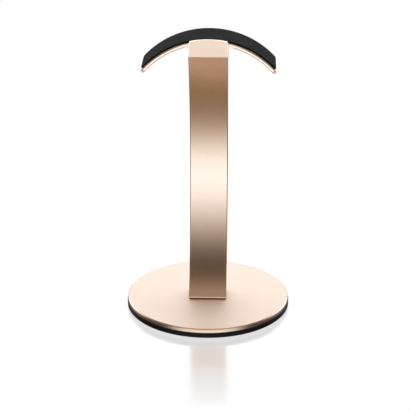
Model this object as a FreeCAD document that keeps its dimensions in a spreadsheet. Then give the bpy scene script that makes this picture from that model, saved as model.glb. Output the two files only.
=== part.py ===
"""Headphone stand: a weighted round base, a bowed blade of a stem and an arched saddle with a soft pad.

Millimetres. +Z is up, +X is to the right and -Y is towards the viewer of the front. The origin is the
centre of the footprint, on the surface that the stand rests on. Every driving dimension is a cell of the
spreadsheet "Sizes", and the sub-parts are bound to those cells.
"""
import FreeCAD, Part
import math
import os
import Sketcher

OUT = "parts"
NEAR = 1e-3  # how close, in millimetres, a point must be to count as lying on a surface
HEX_CORNER = 2 / math.sqrt(3)  # corner to corner of a hexagon over its width across flats

# Driving dimensions: alias, value in millimetres (degrees where the name ends in _angle), meaning.
SIZES = [
    ("plate_radius", 64.75, "radius of the metal disc on top of the base"),
    ("plate_thick", 3.4, "thickness of that disc"),
    ("plate_bevel", 0.8, "bevel round its top edge"),
    ("base_top", 8.0, "height of the base's top face"),
    ("tray_radius", 65.3, "outer radius of the black tray, just proud of the disc"),
    ("tray_bottom", 0.6, "gap between the tray's rim and the table"),
    ("tray_recess", 0.6, "depth of the seat for the anti-slip mat"),
    ("tray_floor", 0.8, "thickness of the tray's floor"),
    ("tray_bevel", 0.5, "bevel round the tray's lower edge"),
    ("ballast_radius", 59.5, "radius of the steel ballast disc"),
    ("ballast_gap", 0.4, "clearance round the ballast disc"),
    ("ballast_room", 0.1, "clearance over the ballast disc"),
    ("tape_thick", 0.3, "foam tape under the ballast disc"),
    ("boss_radius", 4.0, "screw bosses of the tray"),
    ("boss_circle", 50.0, "radius of the circle that the bosses stand on"),
    ("mat_radius", 61.0, "radius of the anti-slip mat"),
    ("mat_gap", 0.3, "clearance round the mat"),
    ("film_thick", 0.15, "adhesive film behind the mat and behind the pad"),
    ("groove_width", 1.2, "width of the mat's round grooves"),
    ("groove_depth", 0.4, "depth of those grooves"),
    ("groove_pitch", 9.0, "distance from one groove to the next"),
    ("stem_width", 30.0, "width of the stem"),
    ("stem_bevel", 0.5, "bevel along the stem's long edges"),
    ("toe_front", -11.5, "front of the stem's foot"),
    ("toe_land", 0.8, "height of the blunt front edge of the foot"),
    ("toe_lean", 0.25, "how far that edge leans back over its height"),
    ("heel_back", 7.0, "back of the stem's foot"),
    ("gasket_thick", 1.2, "gasket under the foot, seen as a thin dark gap"),
    ("gasket_inset", 0.25, "how far the gasket stays inside the foot's outline"),
    ("crease_front", -6.0, "front edge of the head, where the bow ends"),
    ("crease_height", 209.2, "height of that edge"),
    ("front_bow", 31.5, "depth of the front bow behind its chord"),
    ("head_back", 32.0, "back of the head"),
    ("back_bow", 16.0, "depth of the back bow behind its chord"),
    ("lip_back", 9.0, "back of the head's front lip, where the saddle starts"),
    ("lip_land", 1.0, "flat on top of that lip"),
    ("overall_height", 218.9, "height of the pad's crown"),
    ("pad_radius", 70.45, "radius of the pad's top surface"),
    ("pad_thick", 1.5, "thickness of the pad"),
    ("pad_inset", 0.9, "how far the pad stays inside the saddle's front and back edges"),
    ("tip_inset", 2.7, "how far the pad stays inside the saddle's tips"),
    ("saddle_thick", 2.7, "thickness of the saddle plate"),
    ("saddle_depth", 34.0, "front to back size of the saddle plate"),
    ("saddle_angle", 50.4, "angle from the crown to each tip of the plate"),
    ("saddle_corner", 3.0, "corner radius of the plate, seen from above"),
    ("saddle_bevel", 0.6, "bevel round the plate's top edge"),
    ("saddle_under_bevel", 0.8, "bevel round the plate's lower edge"),
    ("saddle_gap", 0.1, "clearance between the saddle and the stem"),
    ("cheek_height", 3.2, "height of the ribs that hold the saddle straight on the stem"),
    ("cheek_reach", 3.6, "width of those ribs at the plate"),
    ("cheek_land", 0.6, "width of those ribs at their lower edge"),
    ("cheek_hollow", 3.6, "radius of the ribs' hollow outer side"),
    ("stem_screw_size", 5.0, "thread of the two screws from the base into the stem"),
    ("stem_screw_length", 12.0, "their length"),
    ("stem_screw_offset", 8.0, "their distance from the middle"),
    ("dowel_radius", 1.25, "radius of the dowels beside the stem screws"),
    ("dowel_length", 5.6, "length of the dowels"),
    ("dowel_offset", 12.0, "their distance from the middle, sideways"),
    ("dowel_front", -5.5, "their distance from the middle, front to back"),
    ("saddle_screw_size", 4.0, "thread of the two screws from the saddle into the stem"),
    ("saddle_screw_length", 10.0, "their length"),
    ("saddle_screw_front", 15.5, "place of the front one"),
    ("saddle_screw_pitch", 10.5, "distance from the front one to the back one"),
    ("tray_screw_size", 3.0, "thread of the four screws from the tray into the disc"),
    ("tray_screw_length", 5.0, "their length"),
    ("hole_play", 0.15, "how much wider a screw hole is than its screw, on the radius"),
    ("thread_play", 0.05, "the same for a threaded hole"),
    ("tip_room", 0.8, "depth left free past the tip of a screw"),
    ("socket_ratio", 0.3, "half the key size of a screw's socket over its thread size"),
    ("socket_depth_ratio", 0.35, "depth of a screw's socket over its thread size"),
    ("cut_margin", 5.0, "how far a cutting outline reaches past what it cuts"),
]

doc = FreeCAD.newDocument("HeadphoneStand")


class Size:
    """A number with the spreadsheet expression that gives it: one formula places a feature and binds it."""

    def __init__(self, value, text):
        self.value = value
        self.text = text

    @staticmethod
    def of(other):
        return other if isinstance(other, Size) else Size(float(other), f"({other})")

    def _join(self, other, sign, value):
        return Size(value, f"({self.text} {sign} {Size.of(other).text})")

    def __add__(self, other):
        return self._join(other, "+", self.value + Size.of(other).value)

    def __sub__(self, other):
        return self._join(other, "-", self.value - Size.of(other).value)

    def __mul__(self, other):
        return self._join(other, "*", self.value * Size.of(other).value)

    def __truediv__(self, other):
        return self._join(other, "/", self.value / Size.of(other).value)

    def __neg__(self):
        return Size.of(0) - self

    def root(self):
        return Size(math.sqrt(self.value), f"sqrt({self.text})")

    def sine(self):
        return Size(math.sin(math.radians(self.value)), f"sin({self.text})")

    def cosine(self):
        return Size(math.cos(math.radians(self.value)), f"cos({self.text})")


class Sheet:
    """The spreadsheet, whose cells are read as attributes of this object."""

    def __init__(self, rows):
        cells = doc.addObject("Spreadsheet::Sheet", "Sizes")
        for row, (alias, value, meaning) in enumerate(rows, start=1):
            cells.set(f"A{row}", alias)
            cells.set(f"B{row}", str(value))
            cells.set(f"C{row}", meaning)
            cells.setAlias(f"B{row}", alias)
            setattr(self, alias, Size(value, f"Sizes.{alias}"))


S = Sheet(SIZES)
doc.recompute()

# Dimensions that follow from the driving ones.
ZERO = Size.of(0)
plate_bottom = S.base_top - S.plate_thick
recess_roof = S.tray_bottom + S.tray_recess
tray_inside = recess_roof + S.tray_floor
ballast_bottom = tray_inside + S.tape_thick
ballast_thick = plate_bottom - ballast_bottom - S.ballast_room
mat_thick = recess_roof - S.film_thick
foot_bottom = S.base_top + S.gasket_thick
arch_height = S.overall_height - S.pad_radius
plate_outer = S.pad_radius - S.pad_thick - S.film_thick
plate_inner = plate_outer - S.saddle_thick
saddle_front = S.lip_back + S.saddle_gap
half_width = S.stem_width / 2
DEGREES = Size(math.degrees(1), "(180 / pi)")


def bind(target, path, size):
    """Ties one property of an object to the spreadsheet."""
    target.setExpression(path, size.text)


def body(label):
    made = doc.addObject("PartDesign::Body", label)
    made.Label = label
    return made


def plane_sketch(owner, role, offset=ZERO):
    """A sketch on one of the body's own origin planes, moved along the plane's normal by offset."""
    plane = next(f for f in owner.Origin.OriginFeatures if f.Role == role)
    sketch = owner.newObject("Sketcher::SketchObject", owner.Label + "_sketch")
    sketch.AttachmentSupport = [(plane, "")]
    sketch.MapMode = "FlatFace"
    bind(sketch, ".AttachmentOffset.Base.z", offset)
    return sketch


def fix_point(sketch, geometry, position, point):
    """Dimensions one point of a sketch from the sketch's origin."""
    for kind, size in (("DistanceX", point[0]), ("DistanceY", point[1])):
        index = sketch.addConstraint(Sketcher.Constraint(kind, -1, 1, geometry, position, size.value))
        bind(sketch, f"Constraints[{index}]", size)


def arc_edge(start, end, radius):
    """An arc between two points. A positive radius bows to the right of the way from start to end."""
    a = FreeCAD.Vector(start[0].value, start[1].value, 0)
    b = FreeCAD.Vector(end[0].value, end[1].value, 0)
    chord = b - a
    side = math.copysign(1, radius.value)
    rise = math.sqrt(radius.value**2 - (chord.Length / 2) ** 2)
    normal = FreeCAD.Vector(-chord.y, chord.x, 0).normalize() * side
    centre = (a + b) / 2 + normal * rise
    first, last = (a, b) if side > 0 else (b, a)
    angles = [math.atan2(p.y - centre.y, p.x - centre.x) for p in (first, last)]
    circle = Part.Circle(centre, FreeCAD.Vector(0, 0, 1), abs(radius.value))
    return Part.ArcOfCircle(circle, angles[0], angles[1]), (1, 2) if side > 0 else (2, 1)


def outline(sketch, points, arcs=None):
    """A closed outline through the points, counter-clockwise. arcs holds the radii of its round edges."""
    arcs = arcs or {}
    ends = []
    for number, start in enumerate(points):
        end = points[(number + 1) % len(points)]
        if number in arcs:
            shape, order = arc_edge(start, end, arcs[number])
        else:
            shape = Part.LineSegment(*(FreeCAD.Vector(p[0].value, p[1].value, 0) for p in (start, end)))
            order = (1, 2)
        ends.append((sketch.addGeometry(shape, False), *order))
    for number, (geometry, first, last) in enumerate(ends):
        following, its_first, _ = ends[(number + 1) % len(ends)]
        sketch.addConstraint(Sketcher.Constraint("Coincident", geometry, last, following, its_first))
        fix_point(sketch, geometry, first, points[number])
        if number in arcs:
            radius = arcs[number] if arcs[number].value > 0 else -arcs[number]
            index = sketch.addConstraint(Sketcher.Constraint("Radius", geometry, radius.value))
            bind(sketch, f"Constraints[{index}]", radius)


def circles(sketch, centres, radius):
    for centre in centres:
        middle = FreeCAD.Vector(centre[0].value, centre[1].value, 0)
        circle = Part.Circle(middle, FreeCAD.Vector(0, 0, 1), radius.value)
        geometry = sketch.addGeometry(circle, False)
        fix_point(sketch, geometry, 3, centre)
        index = sketch.addConstraint(Sketcher.Constraint("Radius", geometry, radius.value))
        bind(sketch, f"Constraints[{index}]", radius)


def feature(owner, kind, sketch, **sizes):
    """A PartDesign feature made from a sketch, with its sizes bound."""
    made = owner.newObject("PartDesign::" + kind, owner.Label + "_" + kind)
    made.Profile = sketch
    for name, size in sizes.items():
        bind(made, name, size)
    sketch.Visibility = False
    doc.recompute()
    return made


def pad(owner, sketch, length, **flags):
    made = feature(owner, "Pad", sketch, Length=length)
    for name, value in flags.items():
        setattr(made, name, value)
    doc.recompute()
    return made


def pocket(owner, sketch, length, **flags):
    """A pocket that is known to have cut something."""
    before = owner.Shape.Volume
    made = feature(owner, "Pocket", sketch, Length=length)
    for name, value in flags.items():
        setattr(made, name, value)
    doc.recompute()
    if not owner.Shape.Volume < before:
        raise RuntimeError(f"{made.Name} cut nothing")
    return made


def turned(label, points):
    """A body turned about the vertical axis from an outline of (radius, height) points."""
    made = body(label)
    sketch = plane_sketch(made, "XZ_Plane")
    outline(sketch, points)
    turn = feature(made, "Revolution", sketch)
    turn.ReferenceAxis = (sketch, ["V_Axis"])
    turn.Angle = 360
    doc.recompute()
    return made


def bevel(owner, size, wanted):
    """Bevels the edges of the body's last feature for which wanted(edge) is true."""
    base = owner.Tip
    names = [f"Edge{n}" for n, edge in enumerate(base.Shape.Edges, start=1) if wanted(edge)]
    made = owner.newObject("PartDesign::Chamfer", owner.Label + "_Chamfer")
    made.Base = (base, names)
    bind(made, "Size", size)
    doc.recompute()
    return made


def rounded(owner, radius, wanted):
    """Rounds the edges of the body's last feature for which wanted(edge) is true."""
    base = owner.Tip
    names = [f"Edge{n}" for n, edge in enumerate(base.Shape.Edges, start=1) if wanted(edge)]
    made = owner.newObject("PartDesign::Fillet", owner.Label + "_Fillet")
    made.Base = (base, names)
    bind(made, "Radius", radius)
    doc.recompute()
    return made


def countersunk(tool_name, size, length, centre, head_height, pointing):
    """One countersunk screw with a hexagon socket. pointing is 1 for a tip above its head, -1 below."""
    head = doc.addObject("Part::Cone", tool_name + "_head")
    bind(head, "Radius1", size)
    bind(head, "Radius2", size / 2)
    bind(head, "Height", size / 2)
    shank = doc.addObject("Part::Cylinder", tool_name + "_shank")
    bind(shank, "Radius", size / 2)
    bind(shank, "Height", length)
    socket = doc.addObject("Part::Prism", tool_name + "_socket")
    socket.Polygon = 6
    bind(socket, "Circumradius", size * S.socket_ratio * HEX_CORNER)
    bind(socket, "Height", size * S.socket_depth_ratio)
    turn = FreeCAD.Rotation(FreeCAD.Vector(1, 0, 0), 0 if pointing > 0 else 180)
    for piece in (head, shank, socket):
        piece.Placement = FreeCAD.Placement(FreeCAD.Vector(), turn)
        for axis, place in zip("xyz", (*centre, head_height)):
            bind(piece, f".Placement.Base.{axis}", place)
    solid = doc.addObject("Part::Fuse", tool_name + "_solid")
    solid.Base = head
    solid.Tool = shank
    screw = doc.addObject("Part::Cut", tool_name)
    screw.Base = solid
    screw.Tool = socket
    return screw


def screws(label, size, length, centres, head_height, pointing=1):
    """A group of equal countersunk screws."""
    group = doc.addObject("Part::Compound", label)
    group.Label = label
    group.Links = [
        countersunk(f"{label}_{n}", size, length, centre, head_height, pointing)
        for n, centre in enumerate(centres, start=1)
    ]
    doc.recompute()
    return group


def screw_hole(owner, role_offset, centres, size, upward):
    """Countersunk holes through a body, for screws whose heads lie in the plane at that height."""
    sketch = plane_sketch(owner, "XY_Plane", role_offset)
    circles(sketch, centres, size / 2 + S.hole_play)
    before = owner.Shape.Volume
    hole = owner.newObject("PartDesign::Hole", owner.Label + "_Hole")
    hole.Profile = sketch
    doc.recompute()
    hole.Threaded = False
    hole.ThreadType = "None"
    hole.HoleCutType = "Countersink"
    hole.HoleCutCustomValues = True
    hole.DepthType = "ThroughAll"
    hole.Reversed = upward
    bind(hole, "Diameter", size + S.hole_play * 2)
    bind(hole, "HoleCutDiameter", size * 2 + S.hole_play * 2)
    hole.HoleCutCountersinkAngle = 90
    sketch.Visibility = False
    doc.recompute()
    if not owner.Shape.Volume < before:
        raise RuntimeError(f"{hole.Name} cut nothing")


def polar(radius, angle):
    return radius * angle.sine(), arch_height + radius * angle.cosine()


def under_plate(x):
    """Height of the saddle plate's underside at a distance x from the middle."""
    return arch_height + (plate_inner * plate_inner - x * x).root()


BOSS_ANGLES = [Size.of(45 + 90 * quarter) for quarter in range(4)]
boss_centres = [(S.boss_circle * a.sine(), S.boss_circle * a.cosine()) for a in BOSS_ANGLES]
stem_screw_centres = [(S.stem_screw_offset * side, ZERO) for side in (-1, 1)]
dowel_centres = [(S.dowel_offset * side, S.dowel_front) for side in (-1, 1)]
saddle_screw_centres = [(ZERO, S.saddle_screw_front + S.saddle_screw_pitch * n) for n in range(2)]


def make_base_plate():
    """The metal disc: bevelled edge, countersunk holes for the stem and blind holes for the tray."""
    made = turned("base_plate", [
        (ZERO, plate_bottom),
        (S.plate_radius, plate_bottom),
        (S.plate_radius, S.base_top - S.plate_bevel),
        (S.plate_radius - S.plate_bevel, S.base_top),
        (ZERO, S.base_top),
    ])
    screw_hole(made, plate_bottom, stem_screw_centres, S.stem_screw_size, True)
    dowels = plane_sketch(made, "XY_Plane", S.base_top)
    circles(dowels, dowel_centres, S.dowel_radius + S.thread_play)
    pocket(made, dowels, S.dowel_length / 2)
    threads = plane_sketch(made, "XY_Plane", plate_bottom)
    circles(threads, boss_centres, S.tray_screw_size / 2 + S.thread_play)
    reach_in = S.tray_screw_length - (plate_bottom - recess_roof)
    pocket(made, threads, reach_in + S.tip_room / 2, Reversed=True)
    return made


def make_base_tray():
    """The black moulded tray under the disc: a rim, a floor and four screw bosses."""
    cavity = S.ballast_radius + S.ballast_gap
    made = turned("base_tray", [
        (ZERO, recess_roof),
        (S.mat_radius + S.mat_gap, recess_roof),
        (S.mat_radius + S.mat_gap, S.tray_bottom),
        (S.tray_radius - S.tray_bevel, S.tray_bottom),
        (S.tray_radius, S.tray_bottom + S.tray_bevel),
        (S.tray_radius, plate_bottom),
        (cavity, plate_bottom),
        (cavity, tray_inside),
        (ZERO, tray_inside),
    ])
    bosses = plane_sketch(made, "XY_Plane", tray_inside)
    circles(bosses, boss_centres, S.boss_radius)
    pad(made, bosses, plate_bottom - tray_inside)
    screw_hole(made, recess_roof, boss_centres, S.tray_screw_size, True)
    return made


def disc_with_holes(label, bottom, thick, radius, centres, hole_radius):
    """A flat disc with round holes through it."""
    made = body(label)
    sketch = plane_sketch(made, "XY_Plane", bottom)
    circles(sketch, [(ZERO, ZERO)], radius)
    circles(sketch, centres, hole_radius)
    pad(made, sketch, thick)
    return made


def make_anti_slip_mat():
    """The mat that the stand rests on, with round grooves in its underside."""
    grooves = int((S.mat_radius.value - S.groove_width.value) // S.groove_pitch.value)
    points = [(ZERO, ZERO)]
    for number in range(1, grooves + 1):
        inner = S.groove_pitch * number
        outer = inner + S.groove_width
        points += [(inner, ZERO), (inner, S.groove_depth), (outer, S.groove_depth), (outer, ZERO)]
    points += [(S.mat_radius, ZERO), (S.mat_radius, mat_thick), (ZERO, mat_thick)]
    return turned("anti_slip_mat", points)


def bow_radius(start, end, depth):
    """Radius of the arc whose middle lies depth away from the chord between two points."""
    across = end[0] - start[0]
    along = end[1] - start[1]
    return (across * across + along * along) / (depth * 8) + depth / 2


def make_stem():
    """The bowed blade: a side outline pushed out to its width, its lip and seat cut to the arch."""
    made = body("stem")
    toe = (S.toe_front + S.toe_lean, foot_bottom + S.toe_land)
    crease = (S.crease_front, S.crease_height)
    heel = (S.heel_back, foot_bottom)
    crown = (S.head_back, S.overall_height)
    side = plane_sketch(made, "YZ_Plane")
    outline(
        side,
        [(S.toe_front, foot_bottom), heel, crown, (S.lip_back - S.lip_land, S.overall_height), crease, toe],
        {1: bow_radius(heel, crown, S.back_bow), 4: -bow_radius(toe, crease, S.front_bow)},
    )
    pad(made, side, S.stem_width, SideType="Symmetric")
    cut_to_arch(made, S.pad_radius, S.toe_front)
    cut_to_arch(made, plate_inner, S.lip_back)
    drill(made, foot_bottom, stem_screw_centres, S.stem_screw_size / 2 + S.thread_play,
          S.stem_screw_length - S.plate_thick - S.gasket_thick + S.tip_room, Reversed=True)
    drill(made, foot_bottom, dowel_centres, S.dowel_radius + S.thread_play,
          S.dowel_length / 2 - S.gasket_thick + S.tip_room, Reversed=True)
    drill(made, S.overall_height, saddle_screw_centres, S.saddle_screw_size / 2 + S.thread_play,
          S.overall_height - plate_outer - arch_height + S.saddle_screw_length + S.tip_room)
    bevel(made, S.stem_bevel, outer_stem_edge)
    return made


def cut_to_arch(owner, radius, front):
    """Removes what lies above an arch of that radius, from the plane y = front all the way back."""
    sketch = plane_sketch(owner, "XZ_Plane", -front)
    reach = half_width + S.cut_margin
    foot = arch_height + (radius * radius - reach * reach).root()
    top = S.overall_height + S.cut_margin
    outline(sketch, [(reach, foot), (reach, top), (-reach, top), (-reach, foot)], {3: -radius})
    pocket(owner, sketch, S.overall_height)


def drill(owner, height, centres, radius, depth, **flags):
    sketch = plane_sketch(owner, "XY_Plane", height)
    circles(sketch, centres, radius)
    pocket(owner, sketch, depth, **flags)


def outer_stem_edge(edge):
    """True for the stem's open edges: both side outlines and the lip's top, but not the crease."""
    ends = [v.Point for v in edge.Vertexes]
    if len(ends) < 2:
        return False
    middle = edge.valueAt((edge.FirstParameter + edge.LastParameter) / 2)
    beside = all(abs(abs(p.x) - half_width.value) < NEAR for p in (*ends, middle))
    seat = middle.y > S.lip_back.value - NEAR and middle.z > under_plate(half_width).value - NEAR
    in_lip = middle.y < S.lip_back.value - NEAR and middle.z > S.crease_height.value + NEAR
    across = abs(middle.x) < NEAR and in_lip
    return (beside and not seat) or across


def make_stem_gasket():
    """A thin gasket between the foot and the base, a little inside the foot's outline."""
    made = body("stem_gasket")
    sketch = plane_sketch(made, "XY_Plane", S.base_top)
    side = half_width - S.gasket_inset
    front = S.toe_front + S.gasket_inset
    back = S.heel_back - S.gasket_inset
    outline(sketch, [(-side, front), (side, front), (side, back), (-side, back)])
    circles(sketch, stem_screw_centres, S.stem_screw_size / 2 + S.hole_play)
    circles(sketch, dowel_centres, S.dowel_radius + S.hole_play)
    pad(made, sketch, S.gasket_thick)
    return made


def make_stem_dowels():
    """Two plain dowels that keep the foot square to the base."""
    group = doc.addObject("Part::Compound", "stem_dowels")
    group.Label = "stem_dowels"
    pins = []
    for number, centre in enumerate(dowel_centres, start=1):
        pin = doc.addObject("Part::Cylinder", f"stem_dowel_{number}")
        bind(pin, "Radius", S.dowel_radius)
        bind(pin, "Height", S.dowel_length)
        for axis, place in zip("xyz", (*centre, S.base_top - S.dowel_length / 2)):
            bind(pin, f".Placement.Base.{axis}", place)
        pins.append(pin)
    group.Links = pins
    doc.recompute()
    return group


def arch_band(owner, inner, outer, angle, front, depth, corner):
    """A band bent to the arch, with round corners when seen from above."""
    sketch = plane_sketch(owner, "XZ_Plane", -(front + depth))
    corners = [polar(inner, -angle), polar(inner, angle), polar(outer, angle), polar(outer, -angle)]
    outline(sketch, corners, {0: -inner, 2: outer})
    pad(owner, sketch, depth)
    rounded(owner, corner, lambda edge: is_tip_corner(edge, inner, outer))


def is_tip_corner(edge, inner, outer):
    """True for the four short edges that cross the band at its tips."""
    radii = sorted(math.hypot(v.X, v.Z - arch_height.value) for v in edge.Vertexes)
    return len(radii) == 2 and abs(radii[0] - inner.value) < NEAR and abs(radii[1] - outer.value) < NEAR


def on_arch(edge, radius):
    """True for an edge that lies on the arch of that radius all along."""
    span = edge.LastParameter - edge.FirstParameter
    points = [edge.valueAt(edge.FirstParameter + span * part) for part in (0, 0.3, 0.5, 0.8, 1)]
    return all(abs(math.hypot(p.x, p.z - arch_height.value) - radius.value) < NEAR for p in points)


def make_saddle_plate():
    """The arched plate, with two ribs below it that straddle the stem's head, and two countersunk holes."""
    made = body("saddle_plate")
    arch_band(made, plate_inner, plate_outer, S.saddle_angle, saddle_front, S.saddle_depth, S.saddle_corner)
    bevel(made, S.saddle_bevel, lambda edge: on_arch(edge, plate_outer))
    bevel(made, S.saddle_under_bevel, lambda edge: on_arch(edge, plate_inner))
    near = half_width + S.saddle_gap
    low = under_plate(near) - S.cheek_height
    into_plate = S.saddle_thick / 4
    far = near + S.cheek_reach
    rib_depth = S.head_back - saddle_front
    for side in (-1, 1):
        sketch = plane_sketch(made, "XZ_Plane", -(saddle_front + rib_depth))
        points = [
            (near * side, low),
            ((near + S.cheek_land) * side, low),
            (far * side, under_plate(far)),
            (far * side, under_plate(far) + into_plate),
            (near * side, under_plate(near) + into_plate),
        ]
        arcs = {1: -S.cheek_hollow}
        if side < 0:
            points = [points[0], *points[:0:-1]]
            arcs = {3: -S.cheek_hollow}
        outline(sketch, points, arcs)
        pad(made, sketch, rib_depth)
    screw_hole(made, arch_height + plate_outer, saddle_screw_centres, S.saddle_screw_size, False)
    return made


def make_saddle_strip(label, inner, thick):
    """A thin strip that lies on the saddle plate, inside its bevel."""
    made = body(label)
    inset_angle = S.saddle_angle - S.tip_inset / plate_outer * DEGREES
    arch_band(made, inner, inner + thick, inset_angle, saddle_front + S.pad_inset,
              S.saddle_depth - S.pad_inset * 2, S.saddle_corner - S.pad_inset)
    return made


def make_ballast(label, bottom, thick):
    """A disc that lies in the tray, with holes round the tray's bosses."""
    boss_hole = S.boss_radius + S.ballast_gap
    return disc_with_holes(label, bottom, thick, S.ballast_radius, boss_centres, boss_hole)


def make_tray_screws():
    return screws("tray_screws", S.tray_screw_size, S.tray_screw_length, boss_centres, recess_roof)


def make_stem_screws():
    return screws("stem_screws", S.stem_screw_size, S.stem_screw_length, stem_screw_centres, plate_bottom)


def make_saddle_screws():
    size = S.saddle_screw_size
    flush = flush_head_height()
    return screws("saddle_screws", size, S.saddle_screw_length, saddle_screw_centres, flush, pointing=-1)


def make_parts():
    return [
        make_base_plate(),
        make_base_tray(),
        make_ballast("ballast_tape", tray_inside, S.tape_thick),
        make_ballast("ballast_disc", ballast_bottom, ballast_thick),
        disc_with_holes("mat_film", mat_thick, S.film_thick, S.mat_radius, [], None),
        make_anti_slip_mat(),
        make_tray_screws(),
        make_stem(),
        make_stem_gasket(),
        make_stem_screws(),
        make_stem_dowels(),
        make_saddle_plate(),
        make_saddle_screws(),
        make_saddle_strip("pad_film", plate_outer, S.film_thick),
        make_saddle_strip("saddle_pad", plate_outer + S.film_thick, S.pad_thick),
    ]


def flush_head_height():
    """Height of the saddle screws' heads, which stay under the plate's curved top all round."""
    reach = S.saddle_screw_size
    return arch_height + (plate_outer * plate_outer - reach * reach).root()


def check(parts):
    """Stops if any object failed or any sub-part has no sound solid."""
    for item in doc.Objects:
        if any(flag in item.State for flag in ("Invalid", "Error")):
            raise RuntimeError(f"{item.Label} failed: {item.State}")
    for part in parts:
        if part.Shape.isNull() or not part.Shape.isValid() or not part.Shape.Solids:
            raise RuntimeError(f"{part.Label} has no sound solid")


def export(parts):
    os.makedirs(OUT, exist_ok=True)
    for part in parts:
        part.Shape.exportStep(os.path.join(OUT, part.Label + ".step"))
        box = part.Shape.BoundBox
        spans = ((box.XMin, box.XMax), (box.YMin, box.YMax), (box.ZMin, box.ZMax))
        shown = " ".join(f"{axis} {low:.1f}..{high:.1f}" for axis, (low, high) in zip("xyz", spans))
        print(f"{part.Label:16s} {len(part.Shape.Solids)} solid(s) {part.Shape.Volume:9.0f} mm3 {shown}")


parts = make_parts()
doc.recompute()
check(parts)
export(parts)
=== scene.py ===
"""Headphone stand: the looks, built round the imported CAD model.

Metres, in the CAD model's frame: +Z is up, -Y is towards the viewer of the front and +X is to the right.
The metal, plastic, rubber and steel pieces of the CAD model are shown as they are, with materials of their
own. The soft pad on the saddle is modelled here.
"""
import bmesh
import bpy
import math
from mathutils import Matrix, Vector


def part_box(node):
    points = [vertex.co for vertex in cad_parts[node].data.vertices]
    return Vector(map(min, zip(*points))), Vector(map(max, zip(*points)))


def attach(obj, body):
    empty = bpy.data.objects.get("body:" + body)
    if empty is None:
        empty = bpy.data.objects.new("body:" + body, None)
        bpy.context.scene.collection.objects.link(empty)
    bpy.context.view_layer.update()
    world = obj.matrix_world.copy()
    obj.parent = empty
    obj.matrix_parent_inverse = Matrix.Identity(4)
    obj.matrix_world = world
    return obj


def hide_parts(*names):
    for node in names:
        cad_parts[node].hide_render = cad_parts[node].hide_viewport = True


MM = 0.001

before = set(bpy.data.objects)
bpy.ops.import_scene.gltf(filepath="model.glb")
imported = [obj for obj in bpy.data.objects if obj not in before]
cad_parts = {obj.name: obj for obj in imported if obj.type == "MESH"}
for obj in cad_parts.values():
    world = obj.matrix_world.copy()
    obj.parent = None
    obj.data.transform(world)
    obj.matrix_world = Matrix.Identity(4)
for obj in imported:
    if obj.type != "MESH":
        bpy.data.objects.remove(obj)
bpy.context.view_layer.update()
scene = bpy.context.scene

# The camera: a long lens, a little to the right of the middle and looking down on the base.
LENS = 129.8
SENSOR = 36.0
CAMERA_AWAY = 1.1029
CAMERA_UP = 0.5362
CAMERA_PITCH = math.radians(22.34)
CAMERA_ORBIT = math.radians(1.84)

WHITE = (1.0, 1.0, 1.0, 1.0)
# The finish of the metal, as the share of light that it reflects in red, green and blue.
CHAMPAGNE = (0.88, 0.66, 0.53)

# The surroundings that the metal mirrors, seen from the stand: elevation in degrees, then the red, green
# and blue light from there.
FRONT_SKY = [
    (-90, (0.20, 0.17, 0.04)),
    (-78, (0.22, 0.17, 0.05)),
    (-60, (0.25, 0.18, 0.08)),
    (-50, (0.26, 0.20, 0.13)),
    (-43, (0.38, 0.33, 0.25)),
    (-36, (0.60, 0.56, 0.46)),
    (-30, (0.88, 0.92, 0.90)),
    (-22, (1.24, 1.38, 1.48)),
    (-13, (1.50, 1.62, 1.82)),
    (-5, (1.34, 1.46, 1.60)),
    (0, (1.08, 1.20, 1.26)),
    (5, (0.88, 0.94, 0.96)),
    (11, (0.62, 0.60, 0.56)),
    (16, (0.45, 0.42, 0.38)),
    (23, (0.15, 0.13, 0.12)),
    (31, (0.04, 0.03, 0.02)),
    (38, (0.08, 0.06, 0.04)),
    (43, (0.37, 0.28, 0.20)),
    (50, (0.60, 0.50, 0.37)),
    (64, (0.46, 0.38, 0.24)),
    (82, (0.42, 0.39, 0.14)),
    (90, (0.80, 0.80, 0.78)),
]
SIDE_SKY = [
    (-90, (0.20, 0.17, 0.04)),
    (-66, (1.25, 1.26, 1.26)),
    (-52, (1.15, 1.16, 1.16)),
    (-44, (0.12, 0.10, 0.08)),
    (-15, (0.07, 0.05, 0.04)),
    (-3, (0.30, 0.26, 0.22)),
    (8, (0.24, 0.20, 0.15)),
    (16, (0.40, 0.38, 0.36)),
    (27, (0.50, 0.48, 0.46)),
    (36, (0.12, 0.10, 0.08)),
    (52, (0.14, 0.12, 0.10)),
    (66, (0.90, 0.92, 0.94)),
    (90, (0.80, 0.80, 0.78)),
]
BACK_SKY = [
    (-90, (0.20, 0.17, 0.04)),
    (-78, (0.20, 0.18, 0.12)),
    (-62, (0.55, 0.58, 0.58)),
    (-25, (0.36, 0.34, 0.32)),
    (0, (0.90, 0.94, 0.98)),
    (15, (1.82, 2.10, 2.32)),
    (45, (1.82, 2.10, 2.32)),
    (76, (1.40, 1.58, 1.72)),
    (90, (0.80, 0.80, 0.78)),
]
SKY_PEAK = 2.4
# Where the front and the back sky begin and where they are whole, on a scale round the stand that runs from
# -1 straight ahead, through 0 at the sides, to 1 straight back.
FRONT_REACH = (-0.45, -0.97)
BACK_REACH = (0.1, 0.8)
STEEPEST = 1e-4  # the least level length of a direction, so that straight up has a place on that scale


def wire(tree, source, output, target, entry):
    """Connects one node's output to another's input, by name or number."""
    tree.links.new(source.outputs[output], target.inputs[entry])


def node(tree, kind, **settings):
    """A node of a tree. Settings are its own properties, and inputs holds the values of its sockets."""
    made = tree.nodes.new(kind)
    values = settings.pop("inputs", {})
    for name, value in settings.items():
        setattr(made, name, value)
    for entry, value in values.items():
        made.inputs[entry].default_value = value
    return made


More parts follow.
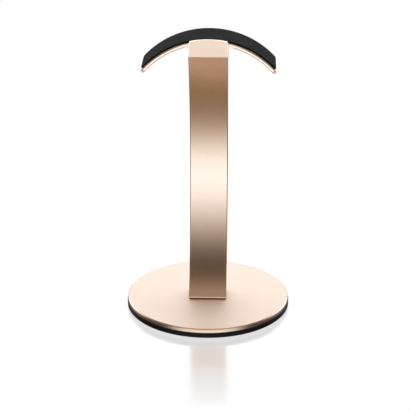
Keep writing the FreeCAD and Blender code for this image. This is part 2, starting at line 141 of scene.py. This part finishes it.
def maths(tree, operation, first, second=None, third=None):
    """A Math node's result as a (node, output) pair. Each operand is a number or such a pair."""
    made = node(tree, "ShaderNodeMath", operation=operation)
    for entry, operand in enumerate((first, second, third)):
        if isinstance(operand, tuple):
            wire(tree, operand[0], operand[1], made, entry)
        elif operand is not None:
            made.inputs[entry].default_value = operand
    return made, 0


def ramp(tree, factor, stops):
    """A Color Ramp fed by factor, with stops of (position, colour)."""
    made = node(tree, "ShaderNodeValToRGB")
    elements = made.color_ramp.elements
    while len(elements) < len(stops):
        elements.new(0.5)
    for element, (position, colour) in zip(elements, stops):
        element.position = position
        element.color = (*colour, 1.0)
    wire(tree, factor[0], factor[1], made, 0)
    return made


def shaded(colour, factor):
    """A colour with each channel multiplied by factor."""
    return tuple(channel * factor for channel in colour)


def sky_stops(profile):
    """A profile of the surroundings as the stops of a ramp over elevation."""
    return [((elevation + 90) / 180, shaded(light, 1 / SKY_PEAK)) for elevation, light in profile]


def direction(tree):
    """A direction's elevation, from 0 straight down to 1 straight up, and how far back it points."""
    place = node(tree, "ShaderNodeTexCoord")
    split = node(tree, "ShaderNodeSeparateXYZ")
    wire(tree, place, "Generated", split, 0)
    rise = maths(tree, "ARCSINE", (split, 2))
    height = maths(tree, "MULTIPLY_ADD", rise, 1 / math.pi, 0.5)
    across = maths(tree, "MULTIPLY", (split, 0), (split, 0))
    level = maths(tree, "MULTIPLY_ADD", (split, 1), (split, 1), across)
    reach = maths(tree, "SQRT", level)
    backward = maths(tree, "DIVIDE", (split, 1), maths(tree, "MAXIMUM", reach, STEEPEST))
    return height, backward


def sky(tree):
    """The colour of the surroundings: the sides, and over them the front and the back."""
    height, backward = direction(tree)
    shown = (ramp(tree, height, sky_stops(SIDE_SKY)), 0)
    for profile, (start, whole) in ((FRONT_SKY, FRONT_REACH), (BACK_SKY, BACK_REACH)):
        share = node(tree, "ShaderNodeMapRange", interpolation_type="SMOOTHSTEP",
                     inputs={"From Min": start, "From Max": whole})
        wire(tree, *backward, share, 0)
        mixed = node(tree, "ShaderNodeMix", data_type="RGBA")
        wire(tree, share, 0, mixed, 0)
        wire(tree, *shown, mixed, 6)
        wire(tree, ramp(tree, height, sky_stops(profile)), 0, mixed, 7)
        shown = (mixed, 2)
    return shown


def seen_plain(tree):
    """1 where the camera sees, directly or in the veiled floor, and 0 for what the metal mirrors."""
    path = node(tree, "ShaderNodeLightPath")
    through_veil = maths(tree, "GREATER_THAN", (path, "Transparent Depth"), 0.5)
    one_mirror = maths(tree, "LESS_THAN", (path, "Glossy Depth"), 1.5)
    in_floor = maths(tree, "MULTIPLY", through_veil, one_mirror)
    return maths(tree, "MAXIMUM", (path, "Is Camera Ray"), in_floor)


def make_world():
    """A studio of soft light: bright low in front, bright behind and overhead, dim at the sides.

    The camera sees it as plain white, both directly and mirrored by the floor under its clear veil.
    """
    world = bpy.data.worlds.new("studio")
    world.use_nodes = True
    tree = world.node_tree
    tree.nodes.clear()
    light = node(tree, "ShaderNodeBackground", inputs={"Strength": SKY_PEAK})
    wire(tree, *sky(tree), light, "Color")
    plain = node(tree, "ShaderNodeBackground", inputs={"Color": WHITE, "Strength": 1.0})
    choice = node(tree, "ShaderNodeMixShader")
    wire(tree, *seen_plain(tree), choice, 0)
    wire(tree, light, 0, choice, 1)
    wire(tree, plain, 0, choice, 2)
    final = node(tree, "ShaderNodeOutputWorld")
    wire(tree, choice, 0, final, 0)
    scene.world = world


def new_material(name):
    """An empty node material and its Principled shader."""
    material = bpy.data.materials.new(name)
    material.use_nodes = True
    tree = material.node_tree
    shader = next(n for n in tree.nodes if n.type == "BSDF_PRINCIPLED")
    return material, tree, shader


# Noise seldom leaves this range, which the materials stretch to the range that they need.
NOISE_RANGE = (0.3, 0.7)
# The upward part of a surface's normal where it begins to count as facing up, and where it does so fully.
UPWARD = (0.8, 0.95)
CLOUDING = 0.015  # how much darker or lighter than its mean the metal's colour gets


def grain(tree, place, size, detail=2.0):
    """Noise whose features are about size across."""
    made = node(tree, "ShaderNodeTexNoise", inputs={"Scale": 1 / size, "Detail": detail})
    wire(tree, place, "Object", made, "Vector")
    return made


def spread(tree, source, low, high):
    """Noise mapped to the range from low to high."""
    start, end = NOISE_RANGE
    made = node(tree, "ShaderNodeMapRange",
                inputs={"From Min": start, "From Max": end, "To Min": low, "To Max": high})
    wire(tree, source, 0, made, 0)
    return made


def bump(tree, source, depth, under=None):
    """A Bump node over a height map, depth deep, on top of another one if given."""
    made = node(tree, "ShaderNodeBump", inputs={"Strength": 1.0, "Distance": depth})
    wire(tree, source, 0, made, "Height")
    if under is not None:
        wire(tree, under, 0, made, "Normal")
    return made


def tinted(tree, source, dark, light):
    """A colour between dark and light, by noise."""
    return ramp(tree, (source, 0), list(zip(NOISE_RANGE, (dark, light))))


def upward(tree, facing, sideways, up):
    """A value that is sideways on walls and bevels, and up where the surface faces up."""
    start, whole = UPWARD
    made = node(tree, "ShaderNodeMapRange",
                inputs={"From Min": start, "From Max": whole, "To Min": sideways, "To Max": up})
    wire(tree, facing, "Z", made, 0)
    return made


def blasted_metal(name, smooth, rough, turned=1.0, milky=0.0):
    """Bead-blasted and anodised aluminium: a fine even grain, with faint clouding of its colour.

    smooth and rough are the ends of its roughness. turned is the share of it that is left where the surface
    doesn't face up, as on a lathe-turned rim. milky is the share of the light that the oxide scatters where
    the surface faces up.
    """
    material, tree, shader = new_material(name)
    place = node(tree, "ShaderNodeTexCoord")
    clouds = grain(tree, place, size=14 * MM, detail=3.0)
    colour = tinted(tree, clouds, shaded(CHAMPAGNE, 1 - CLOUDING), shaded(CHAMPAGNE, 1 + CLOUDING))
    wire(tree, colour, 0, shader, "Base Color")
    facing = node(tree, "ShaderNodeSeparateXYZ")
    wire(tree, place, "Normal", facing, 0)
    beads = grain(tree, place, size=0.9 * MM, detail=3.0)
    gloss = spread(tree, beads, smooth, rough)
    kept = upward(tree, facing, sideways=turned, up=1.0)
    wire(tree, *maths(tree, "MULTIPLY", (gloss, 0), (kept, 0)), shader, "Roughness")
    wire(tree, upward(tree, facing, sideways=1.0, up=1.0 - milky), 0, shader, "Metallic")
    ripple = bump(tree, grain(tree, place, size=2.6 * MM), depth=0.012 * MM)
    dimples = bump(tree, beads, depth=0.012 * MM, under=ripple)
    frosting = bump(tree, grain(tree, place, size=0.3 * MM), depth=0.010 * MM, under=dimples)
    wire(tree, frosting, 0, shader, "Normal")
    return material


def moulded_plastic():
    """Satin black ABS with the fine spark texture of a mould."""
    material, tree, shader = new_material("black_plastic")
    place = node(tree, "ShaderNodeTexCoord")
    spark = grain(tree, place, size=0.5 * MM, detail=4.0)
    clouds = grain(tree, place, size=20 * MM)
    colour = tinted(tree, clouds, dark=(0.004, 0.003, 0.004), light=(0.007, 0.005, 0.007))
    wire(tree, colour, 0, shader, "Base Color")
    wire(tree, spread(tree, spark, low=0.38, high=0.52), 0, shader, "Roughness")
    shader.inputs["Specular IOR Level"].default_value = 0.15
    wire(tree, bump(tree, spark, depth=0.03 * MM), 0, shader, "Normal")
    return material


def matt_rubber(name, dark, light, shine=0.03):
    """Moulded rubber with a fine pebbled skin and a little dust in its pores."""
    material, tree, shader = new_material(name)
    place = node(tree, "ShaderNodeTexCoord")
    pebbles = node(tree, "ShaderNodeTexVoronoi", feature="SMOOTH_F1",
                   inputs={"Scale": 1 / (0.8 * MM), "Smoothness": 0.6})
    wire(tree, place, "Object", pebbles, "Vector")
    dust = grain(tree, place, size=6 * MM, detail=5.0)
    wire(tree, tinted(tree, dust, dark, light), 0, shader, "Base Color")
    wire(tree, spread(tree, dust, low=0.62, high=0.78), 0, shader, "Roughness")
    shader.inputs["Specular IOR Level"].default_value = shine
    shader.inputs["Specular Tint"].default_value = (1.0, 0.80, 0.68, 1.0)
    wire(tree, bump(tree, pebbles, depth=0.05 * MM), 0, shader, "Normal")
    return material


def foam():
    """Off-white foam tape with open cells."""
    material, tree, shader = new_material("foam_tape")
    place = node(tree, "ShaderNodeTexCoord")
    cells = node(tree, "ShaderNodeTexVoronoi", inputs={"Scale": 1 / (0.5 * MM)})
    wire(tree, place, "Object", cells, "Vector")
    colour = tinted(tree, cells, dark=(0.55, 0.55, 0.52), light=(0.78, 0.78, 0.75))
    wire(tree, colour, 0, shader, "Base Color")
    shader.inputs["Roughness"].default_value = 0.9
    wire(tree, bump(tree, cells, depth=0.08 * MM), 0, shader, "Normal")
    return material


def adhesive():
    """A thin film of pale, slightly yellow adhesive."""
    material, tree, shader = new_material("adhesive_film")
    place = node(tree, "ShaderNodeTexCoord")
    ripple = grain(tree, place, size=3 * MM, detail=3.0)
    colour = tinted(tree, ripple, dark=(0.72, 0.69, 0.60), light=(0.82, 0.80, 0.72))
    wire(tree, colour, 0, shader, "Base Color")
    wire(tree, spread(tree, ripple, low=0.15, high=0.35), 0, shader, "Roughness")
    wire(tree, bump(tree, ripple, depth=0.03 * MM), 0, shader, "Normal")
    return material


def plated_steel(name, dark, light, smooth, rough):
    """Steel with a plated or blackened finish, with spangles or stains in it."""
    material, tree, shader = new_material(name)
    place = node(tree, "ShaderNodeTexCoord")
    spangle = node(tree, "ShaderNodeTexVoronoi", inputs={"Scale": 1 / (4 * MM)})
    wire(tree, place, "Object", spangle, "Vector")
    stain = grain(tree, place, size=2.5 * MM, detail=4.0)
    wire(tree, tinted(tree, stain, dark, light), 0, shader, "Base Color")
    shader.inputs["Metallic"].default_value = 1.0
    gloss = node(tree, "ShaderNodeMapRange", inputs={"To Min": smooth, "To Max": rough})
    wire(tree, spangle, 0, gloss, 0)
    wire(tree, gloss, 0, shader, "Roughness")
    wire(tree, bump(tree, stain, depth=0.02 * MM), 0, shader, "Normal")
    return material


def metals():
    """The stem's and the saddle's metal, and the base's, whose top is more matt."""
    return [
        blasted_metal("champagne_metal", smooth=0.21, rough=0.27),
        blasted_metal("champagne_metal_base", smooth=0.55, rough=0.63, turned=0.41, milky=0.45),
    ]


def rubbers():
    """The mat's black, the pad's warmer black and the gasket's dark brown, which is painted warm light
    bounced from the metal round it.
    """
    return [
        matt_rubber("black_rubber", dark=(0.010, 0.010, 0.010), light=(0.018, 0.017, 0.016)),
        matt_rubber("pad_rubber", dark=(0.0080, 0.0064, 0.0054), light=(0.0140, 0.0112, 0.0094)),
        # Painted bounce light: the gasket's brown stands in for warm light from the metal round it, and the
        # rubber itself is dark.
        matt_rubber("gasket_painted_bounce", dark=(0.11, 0.030, 0.008), light=(0.16, 0.050, 0.016), shine=0.01),
    ]


def steels():
    """Zinc plate on the ballast, black screws and ground dowels."""
    return [
        plated_steel("zinc_steel", (0.50, 0.51, 0.53), (0.66, 0.67, 0.69), smooth=0.25, rough=0.5),
        plated_steel("black_steel", (0.04, 0.04, 0.045), (0.09, 0.085, 0.08), smooth=0.3, rough=0.5),
        plated_steel("bright_steel", (0.55, 0.55, 0.54), (0.68, 0.68, 0.67), smooth=0.18, rough=0.3),
    ]


def plain_name(material):
    """A material's name without the number that tells it from a CAD material of the same name."""
    return material.name.split(".")[0]


def make_materials():
    """Every finish by its name: one for each slot of the record, and two that belong to single nodes."""
    made = metals() + rubbers() + steels() + [moulded_plastic(), foam(), adhesive()]
    return {plain_name(material): material for material in made}


# Nodes whose finish isn't quite that of their slot. The gasket's brown is painted warm light bounced from
# the metal round it.
OWN_FINISHES = {"base_plate": "champagne_metal_base", "stem_gasket": "gasket_painted_bounce"}


def dress(materials):
    """Gives every CAD node the material of its slot, or its own finish."""
    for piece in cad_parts.values():
        for entry in piece.material_slots:
            entry.material = materials[plain_name(entry.material)]
    for name, finish in OWN_FINISHES.items():
        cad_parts[name].material_slots[0].material = materials[finish]


# The pad: the radius of its top, its thickness, its corners seen from above and its rounded upper edge.
PAD_RADIUS = 70.45 * MM
PAD_THICK = 1.5 * MM
PAD_CORNER = 2.1 * MM
PAD_ROUND = 0.45 * MM
# How finely its mesh is divided.
PAD_COLUMNS = 96
PAD_ROWS = 24
CORNER_STEPS = 6
ROUND_STEPS = 5


def quarter_turn(steps):
    """Angles from 0 to a right angle, in equal steps."""
    return [step / steps * math.pi / 2 for step in range(steps + 1)]


def stations(half_length, corner):
    """Places along a strip from end to end, close together at its rounded corners."""
    ends = [half_length - corner * (1 - math.sin(turn)) for turn in quarter_turn(CORNER_STEPS)]
    middle = [ends[0] * (2 * step / PAD_COLUMNS - 1) for step in range(1, PAD_COLUMNS)]
    return [-place for place in reversed(ends)] + middle + ends


def strip_grid(half_length, half_width, corner):
    """Columns of (along, across) places that fill a rectangle with rounded corners."""
    columns = []
    for along in stations(half_length, corner):
        into = max(0.0, abs(along) - (half_length - corner))
        reach = half_width - corner + math.sqrt(max(0.0, corner**2 - into**2))
        columns.append([(along, reach * (2 * row / PAD_ROWS - 1)) for row in range(PAD_ROWS + 1)])
    return columns


def rim_keys(columns, rows):
    """The (column, row) keys round the outside of a grid, once round."""
    near = [(column, 0) for column in range(columns)]
    right = [(columns, row) for row in range(rows)]
    far = [(column, rows) for column in range(columns, 0, -1)]
    left = [(0, row) for row in range(rows, 0, -1)]
    return near + right + far + left


def pad_sections():
    """The pad's layers from its seat up, as (inset, height): a straight side and a rounded upper edge."""
    sections = [(0.0, 0.0), (0.0, PAD_THICK / 2)]
    for turn in quarter_turn(ROUND_STEPS):
        sections.append((PAD_ROUND * (1 - math.cos(turn)), PAD_THICK - PAD_ROUND * (1 - math.sin(turn))))
    return sections


def on_arch(middle, along, across, height):
    """A place along and across the pad, at a height over its seat."""
    angle = along / PAD_RADIUS
    radius = PAD_RADIUS - PAD_THICK + height
    return middle + Vector((radius * math.sin(angle), across, radius * math.cos(angle)))


def pad_layers(shape, columns, rim):
    """The strip's vertices, layer by layer from its seat up: grids at its seat and top, rims between."""
    low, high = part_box("saddle_pad")
    half_length = PAD_RADIUS * math.asin(high.x / PAD_RADIUS)
    half_width = (high.y - low.y) / 2
    middle = Vector((0, (high.y + low.y) / 2, high.z - PAD_RADIUS))
    every = [(column, row) for column in range(columns + 1) for row in range(PAD_ROWS + 1)]
    sections = pad_sections()
    layers = []
    for section in sections:
        inset, height = section
        grid = strip_grid(half_length - inset, half_width - inset, PAD_CORNER - inset)
        keys = every if section in (sections[0], sections[-1]) else rim
        layers.append({key: shape.verts.new(on_arch(middle, *grid[key[0]][key[1]], height)) for key in keys})
    return layers


def pad_mesh():
    """A strip with rounded corners and a rounded-over upper edge, bent to the arch of the saddle."""
    columns = PAD_COLUMNS + 2 * CORNER_STEPS
    rim = rim_keys(columns, PAD_ROWS)
    sides = list(zip(rim, rim[1:] + rim[:1]))
    shape = bmesh.new()
    layers = pad_layers(shape, columns, rim)
    for lower, upper in zip(layers, layers[1:]):
        for here, there in sides:
            shape.faces.new((lower[here], lower[there], upper[there], upper[here]))
    for column in range(columns):
        for row in range(PAD_ROWS):
            corners = [(column, row), (column + 1, row), (column + 1, row + 1), (column, row + 1)]
            shape.faces.new([layers[-1][key] for key in corners])
            shape.faces.new([layers[0][key] for key in reversed(corners)])
    for face in shape.faces:
        face.smooth = True
    for here, there in sides:
        shape.edges.get((layers[0][here], layers[0][there])).smooth = False
    mesh = bpy.data.meshes.new("saddle_pad_strip")
    shape.to_mesh(mesh)
    shape.free()
    return mesh


def make_pad(material):
    """The saddle's soft pad, in place of its plain CAD solid."""
    pad = bpy.data.objects.new("saddle_pad_strip", pad_mesh())
    pad.data.materials.append(material)
    scene.collection.objects.link(pad)
    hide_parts("saddle_pad")
    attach(pad, "root")


FLOOR_SIZE = 30.0
VEIL_GAP = 0.01 * MM
# How much the floor mirrors, as (distance from the middle, share), and the largest distance in that scale.
MIRROR_REACH = 200 * MM
MIRROR_SHARES = [(68 * MM, 0.26), (82 * MM, 0.42), (104 * MM, 0.42), (174 * MM, 0.0)]
MIRROR_BLUR = 0.12


def level_sheet(name, height, material):
    """A large level square, which is part of the studio."""
    half = FLOOR_SIZE / 2
    mesh = bpy.data.meshes.new(name)
    corners = [(-half, -half, height), (half, -half, height), (half, half, height), (-half, half, height)]
    mesh.from_pydata(corners, [], [(0, 1, 2, 3)])
    mesh.materials.append(material)
    sheet = bpy.data.objects.new(name, mesh)
    scene.collection.objects.link(sheet)
    sheet.visible_glossy = False
    return sheet


def stage_material(name):
    """A material with no nodes but its output, and that output."""
    material = bpy.data.materials.new(name)
    material.use_nodes = True
    tree = material.node_tree
    tree.nodes.clear()
    return material, tree, node(tree, "ShaderNodeOutputMaterial")


def floor_white():
    """White that glows evenly, and mirrors the stand faintly near its base."""
    material, tree, final = stage_material("floor_white")
    place = node(tree, "ShaderNodeTexCoord")
    away = node(tree, "ShaderNodeVectorMath", operation="LENGTH")
    wire(tree, place, "Object", away, 0)
    reach = maths(tree, "DIVIDE", (away, "Value"), MIRROR_REACH)
    share = ramp(tree, reach, [(spot / MIRROR_REACH, (part,) * 3) for spot, part in MIRROR_SHARES])
    white = node(tree, "ShaderNodeEmission")
    mirror = node(tree, "ShaderNodeBsdfGlossy", inputs={"Color": WHITE, "Roughness": MIRROR_BLUR})
    choice = node(tree, "ShaderNodeMixShader")
    wire(tree, share, 0, choice, 0)
    wire(tree, white, 0, choice, 1)
    wire(tree, mirror, 0, choice, 2)
    wire(tree, choice, 0, final, 0)
    return material


def clear():
    """Nothing to see: it only marks the light that the camera gets by way of the floor."""
    material, tree, final = stage_material("clear")
    wire(tree, node(tree, "ShaderNodeBsdfTransparent"), 0, final, 0)
    return material


def make_floor():
    """A white floor under a clear veil. The metal mirrors neither."""
    level_sheet("floor", -VEIL_GAP, floor_white())
    veil = level_sheet("veil", 0.0, clear())
    veil.visible_diffuse = False
    veil.visible_shadow = False


def make_camera():
    """A camera turned towards the stand's axis and pitched down."""
    data = bpy.data.cameras.new("camera")
    data.lens = LENS
    data.sensor_width = SENSOR
    camera = bpy.data.objects.new("camera", data)
    right = CAMERA_AWAY * math.sin(CAMERA_ORBIT)
    front = CAMERA_AWAY * math.cos(CAMERA_ORBIT)
    camera.location = (right, -front, CAMERA_UP)
    camera.rotation_euler = (math.pi / 2 - CAMERA_PITCH, 0, CAMERA_ORBIT)
    scene.collection.objects.link(camera)
    scene.camera = camera


make_camera()
make_world()
make_floor()
finishes = make_materials()
dress(finishes)
make_pad(finishes["pad_rubber"])
scene.view_settings.view_transform = "Standard"
